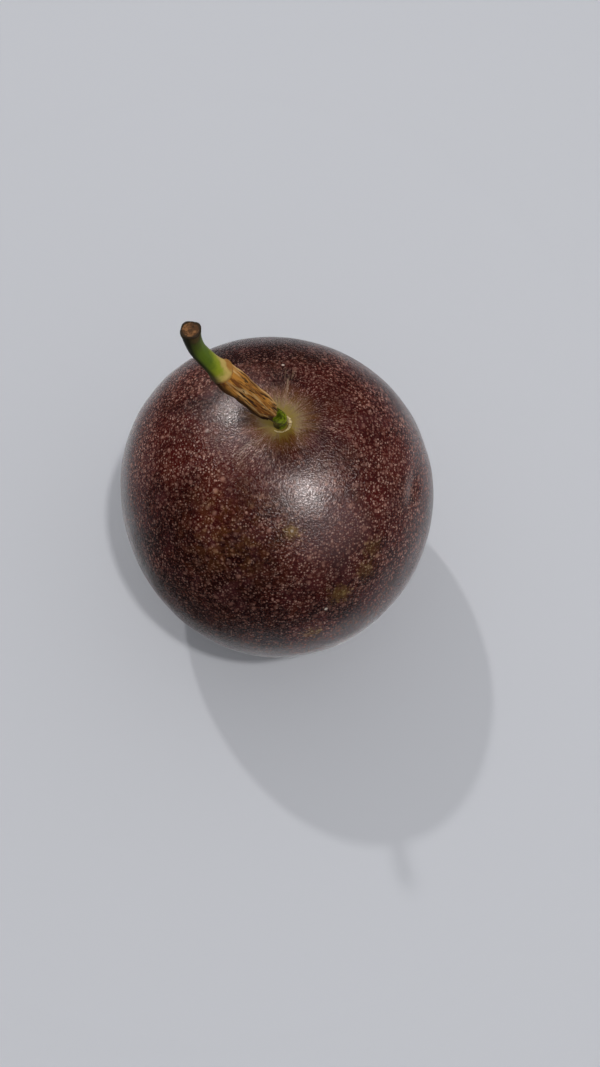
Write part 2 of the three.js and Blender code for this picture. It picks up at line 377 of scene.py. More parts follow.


# Ground colour: dark maroon mottled with brown and mauve, with painted light on the flanks, painted shade at
# the top and bottom, a golden flank and a pale mauve patch of painted highlight haze. Blotches are given by
# the width, detail and roughness of their noise, the noise where they are full and gone, and their share.
RUDDY_BLOTCHES = (8.0, 6.0, 0.65, 0.66, 0.36, 0.75)
BROWN_BLOTCHES = (3.6, 5.0, 0.65, 0.70, 0.48, 0.4)
MAUVE_BLOTCHES = (5.2, 4.0, 0.6, 0.66, 0.50, 0.30)
GOLDEN_BLOTCHES = (2.2, 4.0, 0.65, 0.62, 0.42)
# Spots are given by angle from the stem, longitude, where they are full and gone, and share.
GOLDEN_FLANK = (38, -115, 1.0, 13.0)
# A pale mauve patch of painted highlight haze beside the highlight.
PAINTED_HIGHLIGHT_HAZE = (37, -62, 1.0, 9.5, 0.42)
# Painted light where the share is above 0, and painted shade where it is below 0: angle from the stem,
# longitude, reach, share.
PAINTED_LIGHT_AND_SHADE = [
    (44, -14, 20.0, 0.55), (28, 40, 13.0, 0.35), (46, 168, 18.0, 0.8), (21, -132, 12.0, 0.5),
    (80, -108, 25.0, -0.8), (57, -112, 13.0, -0.4), (56, 95, 20.0, -0.8), (32, 90, 11.0, -0.45)]
GOLDEN_SHARE, GOLDEN_SPECK_SHARE = 0.4, 0.7

ruddy_with_painted_light_and_shade = blotches(skin, skin_place, *RUDDY_BLOTCHES)
# The patches of painted light and painted shade are added to the ruddy blotches.
for polar_degrees, longitude, reach, share in PAINTED_LIGHT_AND_SHADE:
    ruddy_with_painted_light_and_shade = plus(skin, ruddy_with_painted_light_and_shade, round_spot(polar_degrees, longitude, 0.0, reach, share))
colour = tint(skin, ruddy_with_painted_light_and_shade, RIND_DARK, RIND_RED)
colour = tint(skin, blotches(skin, skin_place, *BROWN_BLOTCHES), colour, RIND_BROWN)
colour = tint(skin, blotches(skin, skin_place, *MAUVE_BLOTCHES), colour, RIND_MAUVE)
golden = times(skin, round_spot(*GOLDEN_FLANK), blotches(skin, skin_place, *GOLDEN_BLOTCHES))
colour = tint(skin, times(skin, golden, GOLDEN_SHARE), colour, RIND_GOLD)
# Painted highlight haze: a pale mauve patch beside the highlight.
colour = tint(skin, round_spot(*PAINTED_HIGHLIGHT_HAZE), colour, RIND_HIGHLIGHT_HAZE)

# Olive halo round the stalk, with a brown border, both drawn out into ragged spokes and shorter in front.
HALO_CORE, HALO_EDGE, HALO_SHARE = 1.4, 4.4, 0.9
BORDER_CORE, BORDER_EDGE, BORDER_SHARE = 2.4, 7.2, 0.75
HALO_SPOKES = (1.25, 4.0, 0.7)
HALO_SPOKE_STRETCH, HALO_RAGGED, HALO_SHORTER_IN_FRONT = 3.2, 5.5, 0.7

spokes = clouds(skin, spoke_place(HALO_SPOKE_STRETCH), *HALO_SPOKES)
in_front = between_vectors(skin, "DOT_PRODUCT", round_stem, (0, -1, 0))
halo_reach = plus(skin, from_stem, times(skin, in_front, HALO_SHORTER_IN_FRONT))
halo_reach = swayed(skin, halo_reach, spokes, -HALO_RAGGED)
colour = tint(skin, fade(skin, halo_reach, BORDER_CORE, BORDER_EDGE, BORDER_SHARE), colour, HALO_BROWN)
colour = tint(skin, fade(skin, halo_reach, HALO_CORE, HALO_EDGE, HALO_SHARE), colour, HALO_OLIVE)

# Yellow patches, where the specks are yellow and the ground between them turns olive: angle from the stem,
# longitude, radius, share.
YELLOW_PATCHES = [
    (33.8, -83.1, 1.9, 0.7), (60.1, -66.6, 2.4, 0.85), (50.4, -48.1, 2.2, 0.5), (56.3, -54.1, 2.2, 0.5),
    (75.6, -77.6, 2.0, 0.9)]
PATCH_FULL, PATCH_GONE = 0.3, 1.1
PATCH_BREAKS = (0.8, 4.0, 0.7)
PATCH_RAGGED = 6.5
OLIVE_SHARE = 0.6

breaks = clouds(skin, skin_place, *PATCH_BREAKS)
yellow = 0.0
for polar_degrees, longitude, radius, most in YELLOW_PATCHES:
    apart = swayed(skin, spot_distance(polar_degrees, longitude), breaks, PATCH_RAGGED)
    patch = fade(skin, apart, PATCH_FULL * radius, PATCH_GONE * radius, most)
    yellow = arithmetic(skin, "MAXIMUM", yellow, patch)
colour = tint(skin, times(skin, yellow, OLIVE_SHARE), colour, MARK_OLIVE)

# The dent's near wall is scuffed pale, and painted shade runs along its far side.
SCUFF = (51.5, -16.5, 0.6, 3.2, 0.7)
SCUFF_BLOTCHES = (0.7, 3.0, 0.7, 0.62, 0.46)
PAINTED_DENT_SHADE = (54.5, -18.0, 0.4, 1.3, 0.8)

scuffed = times(skin, round_spot(*SCUFF), blotches(skin, skin_place, *SCUFF_BLOTCHES))
colour = tint(skin, scuffed, colour, SPECK_TAN)
# Painted shade along the dent's far side.
colour = tint(skin, round_spot(*PAINTED_DENT_SHADE), colour, RIND_DARK)

# Corky specks in three sizes over faint flecks, denser where the ground is ruddier, painted light included,
# and drawn out along the spokes near the stem: spacing, radius, blur, share that is missing, colour, height.
SPECK_SIZES = [
    (0.44, 0.24, 0.14, 0.10, SPECK_PALE, 0.1), (0.76, 0.40, 0.28, 0.15, SPECK_TAN, 0.15),
    (1.30, 0.68, 0.54, 0.20, SPECK_TAN, 0.2)]
SPECK_PATCHES = (7.0, 2.0, 0.5, 0.62, 0.30)
LEAST_IN_PATCHES, LEAST_LIVELY, MOST_LIVELY = 0.7, 0.45, 1.12
FLECK_BLOTCHES = (0.42, 2.0, 0.7, 0.68, 0.53, 0.8)
SPOKES_FULL, SPOKES_GONE = 8.0, 14.0
BARE_FOOT, BARE_FOOT_EDGE = 2.0, 5.0
LONG_SPECK_STRETCH = 1.05

off_spokes = fade(skin, from_stem, SPOKES_GONE, SPOKES_FULL)
on_spokes = times(skin, fade(skin, from_stem, SPOKES_FULL, SPOKES_GONE),
                  fade(skin, from_stem, BARE_FOOT_EDGE, BARE_FOOT))
patchy = ramp(skin, blotches(skin, skin_place, *SPECK_PATCHES), 0.0, 1.0, LEAST_IN_PATCHES, 1.0)
specked = times(skin, patchy, ramp(skin, ruddy_with_painted_light_and_shade, 0.0, 1.0, LEAST_LIVELY, MOST_LIVELY))
flecks = times(skin, blotches(skin, skin_place, *FLECK_BLOTCHES), off_spokes, specked)
colour = tint(skin, flecks, colour, SPECK_FAINT)
relief = 0.0
for spacing, radius, blur, missing, speck_colour, height in SPECK_SIZES:
    round_specks = specks(skin, skin_place, spacing, radius, blur, missing)
    long_specks = specks(skin, spoke_place(LONG_SPECK_STRETCH), spacing, radius, blur, missing)
    shown = plus(skin, times(skin, round_specks, off_spokes), times(skin, long_specks, on_spokes))
    shown = times(skin, shown, specked)
    speck_colour = tint(skin, times(skin, golden, GOLDEN_SPECK_SHARE), speck_colour, SPECK_GOLD)
    colour = tint(skin, shown, colour, tint(skin, yellow, speck_colour, MARK_YELLOW))
    relief = plus(skin, relief, times(skin, shown, height))

# Pale strands that fan out from the stem: the longitude and half width of each fan, where it begins and
# ends, and its share.
FANS = [
    (81, 8, 2.6, 12.5, 0.75), (-134, 15, 2.5, 11.5, 0.6), (15, 50, 3.0, 8.5, 0.3),
    (-100, 30, 3.0, 10.0, 0.15)]
STRANDS = (0.75, 2.0, 0.5, 0.68, 0.50)
STRAND_STRETCH = 4.0
FAN_FULL_ACROSS, FAN_FULL_ALONG, FAN_START = 0.3, 0.5, 1.0

strand = blotches(skin, spoke_place(STRAND_STRETCH), *STRANDS)
for longitude, half_width, begins, ends, most in FANS:
    heading = (math.cos(math.radians(longitude)), math.sin(math.radians(longitude)), 0)
    facing = between_vectors(skin, "DOT_PRODUCT", round_stem, heading)
    full_facing = math.cos(math.radians(half_width * FAN_FULL_ACROSS))
    least_facing = math.cos(math.radians(half_width))
    begun = fade(skin, from_stem, begins + FAN_START, begins)
    not_ended = fade(skin, from_stem, FAN_FULL_ALONG * ends, ends)
    in_fan = fade(skin, facing, full_facing, least_facing, most)
    colour = tint(skin, times(skin, strand, in_fan, not_ended, begun), colour, STREAK_PALE)

# Single marks, an olive scab and pale dots: angle from the stem, longitude, radius, share, colour.
MARKS = [
    (33.8, -83.1, 1.2, 0.75, MARK_SCAB), (33.8, -83.1, 0.36, 0.55, MARK_WHITE),
    (64.6, -72.5, 0.42, 1.0, MARK_WHITE), (22.4, 87.6, 0.36, 1.0, MARK_WHITE),
    (22.6, -176.1, 0.45, 0.4, MARK_WHITE)]
MARK_FULL = 0.3

for polar_degrees, longitude, radius, most, mark_colour in MARKS:
    mark = round_spot(polar_degrees, longitude, MARK_FULL * radius, radius, most)
    colour = tint(skin, mark, colour, mark_colour)
skin.links.new(colour, skin_shader.inputs["Base Color"])

# The rind is waxy and dulls to cork in the halo. Its grain is fine wrinkles with flattened tops, which give a
# highlight a bright core, and the specks stand a little above it.
CORKY_FULL, CORKY_GONE = 1.4, 4.2
WRINKLES = (0.31, 2.0, 0.6)
WRINKLE_SHARE = 0.68
FLAT_TOP_FULL, FLAT_TOP_GONE, FLAT_TOP_SHARE = 0.60, 0.44, 0.16
GRAIN_STRENGTH, GRAIN_DEPTH = 1.0, 0.078

corky = fade(skin, halo_reach, CORKY_FULL, CORKY_GONE, CORKY_ROUGHNESS - RIND_ROUGHNESS)
skin.links.new(plus(skin, corky, RIND_ROUGHNESS), skin_shader.inputs["Roughness"])
wrinkles = clouds(skin, skin_place, *WRINKLES)
flat_tops = fade(skin, wrinkles, FLAT_TOP_FULL, FLAT_TOP_GONE, FLAT_TOP_SHARE)
grain = plus(skin, times(skin, wrinkles, WRINKLE_SHARE), flat_tops)
roughen(skin, skin_shader, plus(skin, grain, relief), GRAIN_STRENGTH, GRAIN_DEPTH)

fruit = link_piece("passion_fruit_skin", skin_shape, skin_finish)
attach(fruit, "root")
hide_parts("fruit")

# The stalk: a living green shoot that was picked with the fruit. It leaves the dimple as a smooth knob, runs
# thin inside the withered flower, swells at the joint where the flower grew, and ends in a brown torn cut.
STALK_ROUTE = [
    (0.0, 0.1, 1.9), (-0.4, 0.0, 3.1), (-1.25, 0.0, 4.6), (-3.2, 0.15, 8.2), (-5.3, 0.25, 12.8),
    (-8.1, 0.2, 19.1), (-10.05, 0.3, 23.6), (-11.0, 0.35, 26.3), (-11.4, 0.55, 28.6), (-11.5, 0.9, 31.1)]
ROUTE_STEPS = 24
STALK_SUNK = 0.4
KNOB_RADIUS, CORE_RADIUS, JOINT_RADIUS, GREEN_RADIUS, CUT_END_RADIUS = 1.2, 0.75, 1.85, 1.24, 1.31
SLEEVE_START, SLEEVE_END, FIT = 6.2, 21.1, 0.3
STALK_SIDES = 64
STALK_OUTLINE_STEPS = 8
CUT_RINGS, CUT_HOLLOW, CUT_FACE_RADIUS = 8, 0.1, CUT_END_RADIUS * 0.90
CUT_UNEVEN_RADIUS, CUT_UNEVEN_DEPTH, CUT_UNEVEN_HEIGHT = CUT_END_RADIUS * 0.92, 0.3, 0.10
TIP_REACH, TIP_FLARE = 4.0, 0.15
TIP_CORNERS, TIP_SQUARENESS, TIP_SQUARE_TURN = 4, 0.07, 2.5
RIB_HEIGHT, KNOB_RIB_SHARE = 0.03, 0.3
# Lumps are given by how many go to a millimetre across the stalk and along it, and their shift.
RIBS, JOINT_LUMPS, CUT_LUMPS = (3.2, 0.25), (1.1, 0.9), (2.1, 0, 5)
JOINT_LUMP_HEIGHT, JOINT_LUMPS_ABOVE, JOINT_LUMPS_REACH = 0.14, 0.8, 0.9
LOBE_HEIGHT, LOBE_AROUND, LOBE_HALF_WIDTH = 0.15, math.radians(40), 0.5
LOBE_ABOVE, LOBE_HALF_HEIGHT = 0.5, 0.6


def on_stem_axis(height):
    """A point on the stem axis, in millimetres, counted up from the skin at the bottom of the dimple."""
    return fruit_turn @ Vector((0, 0, POLE_RADIUS - DIMPLE_DEPTH + height)) + fruit_middle


def smooth_line(points, steps):
    """Close points along a smooth curve through the given ones, leaving and arriving straight."""
    reached = [2 * points[0] - points[1], *points, 2 * points[-1] - points[-2]]
    line = []
    for before, start, finish, after in zip(reached, reached[1:], reached[2:], reached[3:]):
        gaps = [math.sqrt((b - a).length) for a, b in ((before, start), (start, finish), (finish, after))]
        middle = (finish - start) / gaps[1]
        leave = (start - before) / gaps[0] - (finish - before) / (gaps[0] + gaps[1]) + middle
        arrive = middle - (after - start) / (gaps[1] + gaps[2]) + (after - finish) / gaps[2]
        leave_handle = start + leave * gaps[1] / 3
        arrive_handle = finish - arrive * gaps[1] / 3
        line += geometry.interpolate_bezier(start, leave_handle, arrive_handle, finish, steps)[:-1]
    return line + [points[-1]]


route = [on_stem_axis(-STALK_SUNK)] + [on_stem_axis(0) + Vector(point) for point in STALK_ROUTE]
stalk_line = smooth_line(route, ROUTE_STEPS)
with_ends = [stalk_line[0], *stalk_line, stalk_line[-1]]
stalk_headings = [(after - before).normalized() for before, after in zip(with_ends, with_ends[2:])]
line_marks = [0.0]
for start, finish in zip(stalk_line, stalk_line[1:]):
    line_marks.append(line_marks[-1] + (finish - start).length)
stalk_length = line_marks[-1]
SHORT_OF_TIP = 1e-6


def bend_along_stalk(shape):
    """Bends a shape on the Z axis along the stalk, and keeps its straight place for the finish."""
    straight = shape.verts.layers.float_vector.new("straight")
    for vertex in shape.verts:
        vertex[straight] = vertex.co
        along = min(max(vertex.co.z, 0.0), stalk_length - SHORT_OF_TIP)
        index = bisect.bisect_right(line_marks, along) - 1
        share = (along - line_marks[index]) / (line_marks[index + 1] - line_marks[index])
        middle = stalk_line[index].lerp(stalk_line[index + 1], share)
        heading = stalk_headings[index].lerp(stalk_headings[index + 1], share).normalized()
        front = (Vector((0, -1, 0)) - heading * -heading.y).normalized()
        side = heading.cross(front)
        beyond = heading * (vertex.co.z - along)
        vertex.co = (middle + side * vertex.co.x - front * vertex.co.y + beyond) * MM


SAME_PLACE = 1e-5


def turned(outline, sides):
    """Turns an outline of [height, radius] points round the Z axis, with its poles and seam closed."""
    shape = bmesh.new()
    corners = [shape.verts.new((radius, 0, height)) for height, radius in outline]
    edges = [shape.edges.new(pair) for pair in zip(corners, corners[1:])]
    bmesh.ops.spin(shape, geom=corners + edges, cent=(0, 0, 0), axis=(0, 0, 1), angle=2 * math.pi,
                   steps=sides, use_merge=True)
    bmesh.ops.remove_doubles(shape, verts=shape.verts[:], dist=SAME_PLACE)
    bmesh.ops.recalc_face_normals(shape, faces=shape.faces[:])
    return shape


def smooth_outline(points, steps):
    """Close [height, radius] points along a smooth outline."""
    line = smooth_line([Vector((height, radius, 0)) for height, radius in points], steps)
    return [(point.x, point.y) for point in line]


def lumps(place, across, along, shift=0.0):
    """Smooth lumps from -1 to 1, so many to a unit across the Z axis and along it."""
    return noise.noise(Vector((across * place.x, across * place.y, along * place.z + shift)))


shoulder, joint, end = SLEEVE_START - FIT, SLEEVE_END + FIT, stalk_length
knob_outline = smooth_outline([
    (0, KNOB_RADIUS * 0.96), (STALK_SUNK + 0.8, KNOB_RADIUS * 0.97), (STALK_SUNK + 2.2, KNOB_RADIUS),
    (shoulder - 2.0, KNOB_RADIUS), (shoulder - 0.9, KNOB_RADIUS * 0.97),
    (shoulder - 0.4, KNOB_RADIUS * 0.85), (shoulder, CORE_RADIUS)], STALK_OUTLINE_STEPS)
green_outline = smooth_outline([
    (joint, JOINT_RADIUS * 0.97), (joint + 0.3, JOINT_RADIUS), (joint + 0.9, JOINT_RADIUS * 0.93),
    (joint + 1.8, JOINT_RADIUS * 0.82), (joint + 3.2, GREEN_RADIUS * 1.1), (joint + 5.0, GREEN_RADIUS * 1.04),
    (joint + 7.5, GREEN_RADIUS), (end - 2.6, GREEN_RADIUS), (end - 1.4, CUT_END_RADIUS * 0.97),
    (end - 0.5, CUT_END_RADIUS), (end - 0.12, CUT_END_RADIUS * 0.98), (end, CUT_FACE_RADIUS)],
    STALK_OUTLINE_STEPS)
ring_shares = [ring / CUT_RINGS for ring in range(CUT_RINGS)]
cut_outline = [(end - CUT_HOLLOW * (1 - share**4), CUT_FACE_RADIUS * share) for share in ring_shares]
stalk_shape = turned(
    [(0, 0), *knob_outline, (joint, CORE_RADIUS), *green_outline, *reversed(cut_outline)], STALK_SIDES)
for vertex in stalk_shape.verts:
    above_joint = vertex.co.z - joint
    on_cut = vertex.co.xy.length < CUT_UNEVEN_RADIUS and vertex.co.z > end - CUT_UNEVEN_DEPTH
    around = math.atan2(vertex.co.y, vertex.co.x)
    at_tip = max(0.0, 1 - (end - vertex.co.z) / TIP_REACH)
    square = TIP_SQUARENESS * at_tip * math.cos(TIP_CORNERS * around - TIP_SQUARE_TURN)
    ribs = RIB_HEIGHT * lumps(vertex.co, *RIBS) * (1 if above_joint > 0 else KNOB_RIB_SHARE)
    vertex.co.xy *= 1 + square + TIP_FLARE * at_tip**3 + ribs
    if above_joint > 0:
        knobbly = JOINT_LUMP_HEIGHT * lumps(vertex.co, *JOINT_LUMPS)
        lobe = LOBE_HEIGHT * bell(around - LOBE_AROUND, LOBE_HALF_WIDTH)
        vertex.co.xy *= (1 + knobbly * bell(above_joint - JOINT_LUMPS_ABOVE, JOINT_LUMPS_REACH)
                         + lobe * bell(above_joint - LOBE_ABOVE, LOBE_HALF_HEIGHT))
    if on_cut:
        vertex.co.z += CUT_UNEVEN_HEIGHT * lumps(vertex.co, *CUT_LUMPS)
bend_along_stalk(stalk_shape)

KNOB_GREEN = (0.26, 0.340, 0.010, 1)
KNOB_DARK = (0.040, 0.052, 0.002, 1)
JOINT_CREAM = (0.62, 0.440, 0.120, 1)
JOINT_TAN = (0.40, 0.180, 0.030, 1)
SHOOT_LIME = (0.32, 0.37, 0.010, 1)
SHOOT_GREEN = (0.110, 0.180, 0.003, 1)
SHOOT_OLIVE = (0.055, 0.062, 0.004, 1)
CUT_BROWN = (0.075, 0.030, 0.007, 1)
CUT_PITH = (0.230, 0.100, 0.033, 1)
CUT_RIM = (0.026, 0.014, 0.003, 1)
TIP_BROWN = (0.090, 0.056, 0.012, 1)
PAINTED_SHADE_DARK = (0.014, 0.012, 0.004, 1)
FIBRE_SHADE = (0.55, 0.52, 0.42, 1)
KNOB_ROUGHNESS, SHOOT_ROUGHNESS, CUT_ROUGHNESS = 0.13, 0.5, 0.95
SHOOT_IOR = 1.3
# Bands of colour up the stalk: the height where each starts and is full, and its colour.
STALK_BANDS = [
    (12.0, 20.0, JOINT_TAN), (20.1, 21.2, JOINT_CREAM), (21.9, 23.6, SHOOT_LIME), (23.6, 26.4, SHOOT_GREEN),
    (28.6, 33.0, SHOOT_OLIVE), (end - 1.9, end - 0.7, TIP_BROWN)]
BAND_DRIFT = 2.6
# Fades: where each is full and gone, and its share.
LOBE_PULL = (0.4, 1.7, 2.4)
KNOB_MOTTLE = (0.65, 0.40)
COLLAR_TOP, COLLAR_OFF_LOBE = (joint + 0.2, joint + 0.8), (2.0, 0.5)
COLLAR_FOOT = joint - 1.0
UNDERSIDE_AROUND, STALK_PAINTED_SHADE = math.radians(133), (0.40, 1.10, 0.85)
CUT_RIM_FADE, CUT_FACE_DEPTH = (1.22, 1.02), 0.22
GLOSSY_KNOB_END = 2.0
FIBRES = (0.28, 3.0, 0.6)
FIBRE_DRAWN_OUT, FIBRE_SHARE = 0.12, 0.6
FIBRE_STRENGTH, FIBRE_DEPTH = 0.4, 0.06
MOTTLE = (1.1, 3.0, 0.6)
CUT_PORES = (0.60, 0.32, 0.12, 0.15)
CUT_BLOTCHES = (0.7, 2.0, 0.5, 0.60, 0.42)

stalk_finish, green, green_shader = new_finish("green_stalk", SHOOT_ROUGHNESS)
green_shader.inputs["IOR"].default_value = SHOOT_IOR
green_place = add_node(green, "ShaderNodeAttribute", attribute_name="straight").outputs["Vector"]
green_parts = add_node(green, "ShaderNodeSeparateXYZ", {"Vector": green_place})
along_stalk = green_parts.outputs["Z"]
from_core = between_vectors(green, "LENGTH", between_vectors(green, "MULTIPLY", green_place, (1, 1, 0)))
turn_angle = arithmetic(green, "ARCTAN2", green_parts.outputs["Y"], green_parts.outputs["X"])
fibres = clouds(green, between_vectors(green, "MULTIPLY", green_place, (1, 1, FIBRE_DRAWN_OUT)), *FIBRES)
mottle = clouds(green, green_place, *MOTTLE)

# The knob is mottled green. The bands above it drift up and down, and the joint's cream lobe pulls them up.
# A tan collar goes round the joint's foot away from that lobe, and the underside gets painted shade.
off_lobe = arithmetic(green, "ABSOLUTE", minus(green, turn_angle, LOBE_AROUND))
drifted = swayed(green, along_stalk, mottle, BAND_DRIFT)
drifted = minus(green, drifted, fade(green, off_lobe, *LOBE_PULL))
colour = tint(green, fade(green, mottle, *KNOB_MOTTLE), KNOB_DARK, KNOB_GREEN)
for starts, full, band in STALK_BANDS:
    colour = tint(green, fade(green, drifted, full, starts), colour, band)
on_collar = times(green, fade(green, along_stalk, *COLLAR_TOP), fade(green, off_lobe, *COLLAR_OFF_LOBE),
                  arithmetic(green, "GREATER_THAN", along_stalk, COLLAR_FOOT))
colour = tint(green, on_collar, colour, JOINT_TAN)
# Painted shade on the underside of the stalk.
off_underside = arithmetic(green, "ABSOLUTE", plus(green, turn_angle, UNDERSIDE_AROUND))
colour = tint(green, fade(green, off_underside, *STALK_PAINTED_SHADE), colour, PAINTED_SHADE_DARK)
between_fibres = times(green, minus(green, 1.0, fibres), FIBRE_SHARE)
colour = tint(green, between_fibres, colour, FIBRE_SHADE, "MULTIPLY")

# The cut face is brown and pithy, with dark pores and a dark rim.
on_cut = arithmetic(green, "GREATER_THAN", along_stalk, end - CUT_FACE_DEPTH)
cut_colour = tint(green, blotches(green, green_place, *CUT_BLOTCHES), CUT_BROWN, CUT_PITH)
cut_colour = tint(green, specks(green, green_place, *CUT_PORES), cut_colour, CUT_RIM)
cut_colour = tint(green, fade(green, from_core, *CUT_RIM_FADE), cut_colour, CUT_RIM)
green.links.new(tint(green, on_cut, colour, cut_colour), green_shader.inputs["Base Color"])
past_knob = fade(green, along_stalk, shoulder + GLOSSY_KNOB_END, shoulder, SHOOT_ROUGHNESS - KNOB_ROUGHNESS)
roughness = arithmetic(green, "MAXIMUM", plus(green, past_knob, KNOB_ROUGHNESS),
                       times(green, on_cut, CUT_ROUGHNESS))
green.links.new(roughness, green_shader.inputs["Roughness"])
roughen(green, green_shader, fibres, FIBRE_STRENGTH, FIBRE_DEPTH)

stalk = link_piece("picked_stalk", stalk_shape, stalk_finish)
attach(stalk, "root")
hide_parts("stalk")

# The dry sleeve: the withered tube of the flower, which still sheathes the stalk. It is thin, brown and
# papery, creased lengthwise, split along one side, and torn at the mouth where the flower fell away.
SLEEVE_OUTLINE = [
    (6.2, 1.48), (9.3, 1.84), (12.0, 1.76), (14.6, 1.8), (17.4, 2.0), (19.6, 1.94), (21.3, 1.86)]
SLEEVE_SIDES = 144
SLEEVE_OUTLINE_STEPS, SLEEVE_BORE_STEP = 18, 6
SLEEVE_BORE = CORE_RADIUS + 0.1
MOUTH_TOP, MOUTH_WIDER = 7.2, 0.45
INSIDE_RADIUS = SLEEVE_BORE + 0.5
SLEEVE_TWIST = 0.25
CREASE_HEIGHT, FINE_CREASE_HEIGHT = 0.28, 0.22
# Creases and tears are lumps too, with one unit for the tube's radius and one for its whole length.
CREASES, FINE_CREASES = (3.0, 1.3), (9.0, 5.0, 7)
SLIT_AROUND, SLIT_WIDTH, SLIT_DEPTH = math.radians(22), 0.09, 0.30
SLIT_MIDDLE, SLIT_REACH = 0.50, 0.36
LIP_AROUND, LIP_WIDTH, LIP_HEIGHT = math.radians(40), 0.16, 0.10
JOINT_END_REACH, JOINT_END_SMOOTHED = 0.04, 0.7
TEAR_DEPTH, FINE_TEAR_DEPTH, TEAR_LOWER, TEAR_REACH = 0.45, 0.25, 0.25, 0.2
TEARS, FINE_TEARS = (2.4, 0, 3), (7, 0, 9)

outer = smooth_outline(SLEEVE_OUTLINE, SLEEVE_OUTLINE_STEPS)
inner = [(height, SLEEVE_BORE + (MOUTH_WIDER if height < MOUTH_TOP else 0.0))
         for height, _ in outer[::SLEEVE_BORE_STEP]]
sleeve_shape = turned([*outer, *reversed(inner), outer[0]], SLEEVE_SIDES)
for vertex in sleeve_shape.verts:
    if vertex.co.xy.length < INSIDE_RADIUS:
        continue
    around = math.atan2(vertex.co.y, vertex.co.x)
    share = (vertex.co.z - SLEEVE_START) / (SLEEVE_END - SLEEVE_START)
    away = Vector((math.cos(around), math.sin(around), 0))
    twisted = around + SLEEVE_TWIST * share
    twisted_place = Vector((math.cos(twisted), math.sin(twisted), share))
    creases = CREASE_HEIGHT * lumps(twisted_place, *CREASES)
    creases += FINE_CREASE_HEIGHT * lumps(twisted_place, *FINE_CREASES)
    slit = SLIT_DEPTH * bell(around - SLIT_AROUND, SLIT_WIDTH) * bell(share - SLIT_MIDDLE, SLIT_REACH)
    lip = LIP_HEIGHT * bell(around - LIP_AROUND, LIP_WIDTH)
    vertex.co += away * (creases - slit + lip) * (1 - JOINT_END_SMOOTHED * bell(share - 1, JOINT_END_REACH))
    near_mouth = max(0.0, 1 - share / TEAR_REACH)
    torn = TEAR_DEPTH * lumps(away, *TEARS) + FINE_TEAR_DEPTH * lumps(away, *FINE_TEARS)
    vertex.co.z += near_mouth * (torn - TEAR_LOWER)
bend_along_stalk(sleeve_shape)

SLEEVE_TAN = (0.53, 0.230, 0.038, 1)
SLEEVE_CREAM = (0.66, 0.420, 0.165, 1)
SLEEVE_RUST = (0.165, 0.052, 0.008, 1)
SLEEVE_DARK = (0.030, 0.011, 0.004, 1)
SLEEVE_ROUGHNESS, SLEEVE_IOR = 0.8, 1.2
SLEEVE_DRAWN_OUT = 0.10
STRAND_CLOUDS, CRACK_CLOUDS = (0.55, 3.0, 0.65), (0.30, 2.0, 0.5)
CREAM_BLOTCHES = (0.8, 2.0, 0.5, 0.72, 0.52, 0.8)
# Fades: where each is full and gone, and its share.
TAN_STRANDS, DARK_CRACKS, BELOW_COLLAR = (0.62, 0.40), (0.36, 0.47, 0.95), (18.0, 20.4)
LIP_FADE, SLIT_FADE, SLEEVE_PAINTED_SHADE = (0.12, 0.24, 0.85), (0.03, 0.10), (0.45, 1.15, 0.9)
SLIT_SHADE_MIDDLE, SLIT_SHADE_REACH = 13.6, (4.5, 6.5)
MOUTH_SHADE, MOUTH_SHADE_AROUND = (6.5, 8.2), (1.0, 1.9, 0.95)
SLEEVE_STRENGTH, SLEEVE_DEPTH = 0.6, 0.08

sleeve_finish, dry, dry_shader = new_finish("withered_sleeve", SLEEVE_ROUGHNESS)
dry_shader.inputs["IOR"].default_value = SLEEVE_IOR
dry_place = add_node(dry, "ShaderNodeAttribute", attribute_name="straight").outputs["Vector"]
dry_parts = add_node(dry, "ShaderNodeSeparateXYZ", {"Vector": dry_place})
along_sleeve = dry_parts.outputs["Z"]
turn_angle = arithmetic(dry, "ARCTAN2", dry_parts.outputs["Y"], dry_parts.outputs["X"])
drawn_out = between_vectors(dry, "MULTIPLY", dry_place, (1, 1, SLEEVE_DRAWN_OUT))
strands = clouds(dry, drawn_out, *STRAND_CLOUDS)
cracks = clouds(dry, drawn_out, *CRACK_CLOUDS)

# Tan and cream strands over rust, with dark cracks up to the collar.
colour = tint(dry, fade(dry, strands, *TAN_STRANDS), SLEEVE_RUST, SLEEVE_TAN)
colour = tint(dry, blotches(dry, drawn_out, *CREAM_BLOTCHES), colour, SLEEVE_CREAM)
cracked = times(dry, fade(dry, along_sleeve, *BELOW_COLLAR), fade(dry, cracks, *DARK_CRACKS))
colour = tint(dry, cracked, colour, SLEEVE_DARK)

# A cream lip beside the slit, painted shade in the slit and on the underside, and a wider dark patch
# at the mouth over the underside, of black mould and painted shade.
beside_lip = arithmetic(dry, "ABSOLUTE", minus(dry, turn_angle, LIP_AROUND))
colour = tint(dry, fade(dry, beside_lip, *LIP_FADE), colour, SLEEVE_CREAM)
beside_slit = arithmetic(dry, "ABSOLUTE", minus(dry, turn_angle, SLIT_AROUND))
off_middle = arithmetic(dry, "ABSOLUTE", minus(dry, along_sleeve, SLIT_SHADE_MIDDLE))
slit_shade = times(dry, fade(dry, beside_slit, *SLIT_FADE), fade(dry, off_middle, *SLIT_SHADE_REACH))
colour = tint(dry, slit_shade, colour, SLEEVE_DARK)
off_underside = arithmetic(dry, "ABSOLUTE", plus(dry, turn_angle, UNDERSIDE_AROUND))
# Painted shade on the sleeve's underside.
colour = tint(dry, fade(dry, off_underside, *SLEEVE_PAINTED_SHADE), colour, SLEEVE_DARK)
